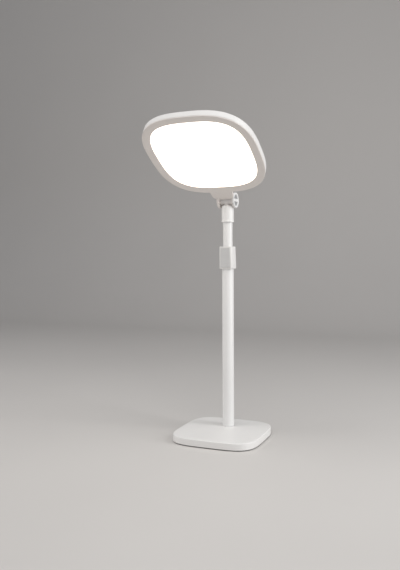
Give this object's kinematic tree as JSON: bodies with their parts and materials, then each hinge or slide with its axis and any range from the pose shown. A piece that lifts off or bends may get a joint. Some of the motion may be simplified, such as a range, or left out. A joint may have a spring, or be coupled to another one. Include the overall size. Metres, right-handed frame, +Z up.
{
  "type": "video conference light",
  "caption": "Free-standing video light: tilting, turning square panel with soft corners on a telescopic pole with a flip-lever height clamp and a flat weighted base.",
  "frame": {"origin": "on the table under the pole's axis, at the underside of the foot pad", "axes": "+Z up along the pole, -Y to the front, where the panel leans, +X to the tension knob's side"},
  "size_m": [0.2018, 0.2537, 0.5697],
  "materials": {
    "foot_pad": "matt",
    "base_weight": "plain",
    "base_cover": "satin",
    "rear_housing": "satin",
    "pod_cover": "satin",
    "clamp_body": "satin",
    "clamp_lever": "satin",
    "tension_knob": "satin",
    "front_frame": "satin",
    "nut_cap": "satin",
    "button_up": "satin",
    "button_power": "satin",
    "button_down": "satin",
    "hinge_barrel": "satin",
    "base_screw_1": "zinc plated",
    "base_screw_2": "zinc plated",
    "base_screw_3": "zinc plated",
    "base_screw_4": "zinc plated",
    "pole_bolt": "zinc plated",
    "collar_screw": "zinc plated",
    "lever_pin": "zinc plated",
    "swivel_bolt": "zinc plated",
    "wave_washer": "zinc plated",
    "barrel_screw": "zinc plated",
    "hinge_stud": "zinc plated",
    "head_screw_1": "zinc plated",
    "head_screw_2": "zinc plated",
    "head_screw_3": "zinc plated",
    "head_screw_4": "zinc plated",
    "pod_screw_1": "zinc plated",
    "pod_screw_2": "zinc plated",
    "pole_washer": "plated",
    "hinge_nut": "plated",
    "usb_inlet": "plated",
    "pole_plug": "plain",
    "swivel_plug": "plain",
    "outer_tube": "powder coated",
    "inner_tube": "powder coated",
    "ferrule": "powder coated",
    "guide_bush": "natural",
    "lower_guide": "natural",
    "swivel_washer": "natural",
    "friction_washer_left": "natural",
    "friction_washer_right": "natural",
    "diffuser": "opal",
    "light_guide": "clear",
    "reflector_sheet": "white film",
    "back_plate": "plain",
    "led_strip_left": "white board",
    "led_strip_right": "white board",
    "flex_lead_left": "film",
    "flex_lead_right": "film",
    "driver_board": "solder mask",
    "tact_switch_up": "satin",
    "tact_switch_power": "satin",
    "tact_switch_down": "satin"
  },
  "bodies": {
    "stand": {"foot_pad": "foot_pad", "base_weight": "base_weight", "base_cover": "base_cover", "base_screw_1": "base_screw_1", "base_screw_2": "base_screw_2", "base_screw_3": "base_screw_3", "base_screw_4": "base_screw_4", "pole_bolt": "pole_bolt", "pole_washer": "pole_washer", "pole_plug": "pole_plug", "outer_tube": "outer_tube", "clamp_body": "clamp_body", "guide_bush": "guide_bush", "collar_screw": "collar_screw", "lever_pin": "lever_pin"},
    "lever": {"clamp_lever": "clamp_lever"},
    "mast": {"inner_tube": "inner_tube", "lower_guide": "lower_guide", "swivel_plug": "swivel_plug", "swivel_washer": "swivel_washer", "wave_washer": "wave_washer", "swivel_bolt": "swivel_bolt"},
    "swivel": {"ferrule": "ferrule", "hinge_barrel": "hinge_barrel", "barrel_screw": "barrel_screw"},
    "head": {"front_frame": "front_frame", "rear_housing": "rear_housing", "diffuser": "diffuser", "light_guide": "light_guide", "reflector_sheet": "reflector_sheet", "back_plate": "back_plate", "led_strip_left": "led_strip_left", "led_strip_right": "led_strip_right", "flex_lead_left": "flex_lead_left", "flex_lead_right": "flex_lead_right", "driver_board": "driver_board", "usb_inlet": "usb_inlet", "tact_switch_up": "tact_switch_up", "tact_switch_power": "tact_switch_power", "tact_switch_down": "tact_switch_down", "head_screw_1": "head_screw_1", "head_screw_2": "head_screw_2", "head_screw_3": "head_screw_3", "head_screw_4": "head_screw_4", "pod_cover": "pod_cover", "pod_screw_1": "pod_screw_1", "pod_screw_2": "pod_screw_2", "friction_washer_left": "friction_washer_left", "friction_washer_right": "friction_washer_right", "hinge_nut": "hinge_nut", "nut_cap": "nut_cap"},
    "knob": {"tension_knob": "tension_knob", "hinge_stud": "hinge_stud"},
    "button_up": {"button_up": "button_up"},
    "button_power": {"button_power": "button_power"},
    "button_down": {"button_down": "button_down"}
  },
  "joints": [
    {"name": "lever_hinge", "type": "hinge", "parent": "stand", "child": "lever", "pos_m": [-0.0102, -0.0102, 0.33675], "axis": [0, 0, -1], "range_deg": [0, 90]},
    {"name": "mast_slide", "type": "slide", "parent": "stand", "child": "mast", "axis": [0, 0, 1], "range_m": [-0.04, 0.12]},
    {"name": "swivel_turn", "type": "hinge", "parent": "mast", "child": "swivel", "pos_m": [0, 0, 0.42], "axis": [0, 0, 1], "continuous": true},
    {"name": "head_tilt", "type": "hinge", "parent": "swivel", "child": "head", "pos_m": [0, 0, 0.4435], "axis": [1, 0, 0], "range_deg": [-150, 35]},
    {"name": "knob_turn", "type": "hinge", "parent": "head", "child": "knob", "pos_m": [0.0158, 0, 0.4435], "axis": [1, 0, 0], "range_deg": [-90, 180]},
    {"name": "button_up_press", "type": "slide", "parent": "head", "child": "button_up", "axis": [0, -0.5105, -0.8599], "range_m": [0, 0.0006], "stiffness_N_per_m": 600, "springref_m": -0.0015},
    {"name": "button_power_press", "type": "slide", "parent": "head", "child": "button_power", "axis": [0, -0.5105, -0.8599], "range_m": [0, 0.0006], "stiffness_N_per_m": 600, "springref_m": -0.0015},
    {"name": "button_down_press", "type": "slide", "parent": "head", "child": "button_down", "axis": [0, -0.5105, -0.8599], "range_m": [0, 0.0006], "stiffness_N_per_m": 600, "springref_m": -0.0015}
  ]
}
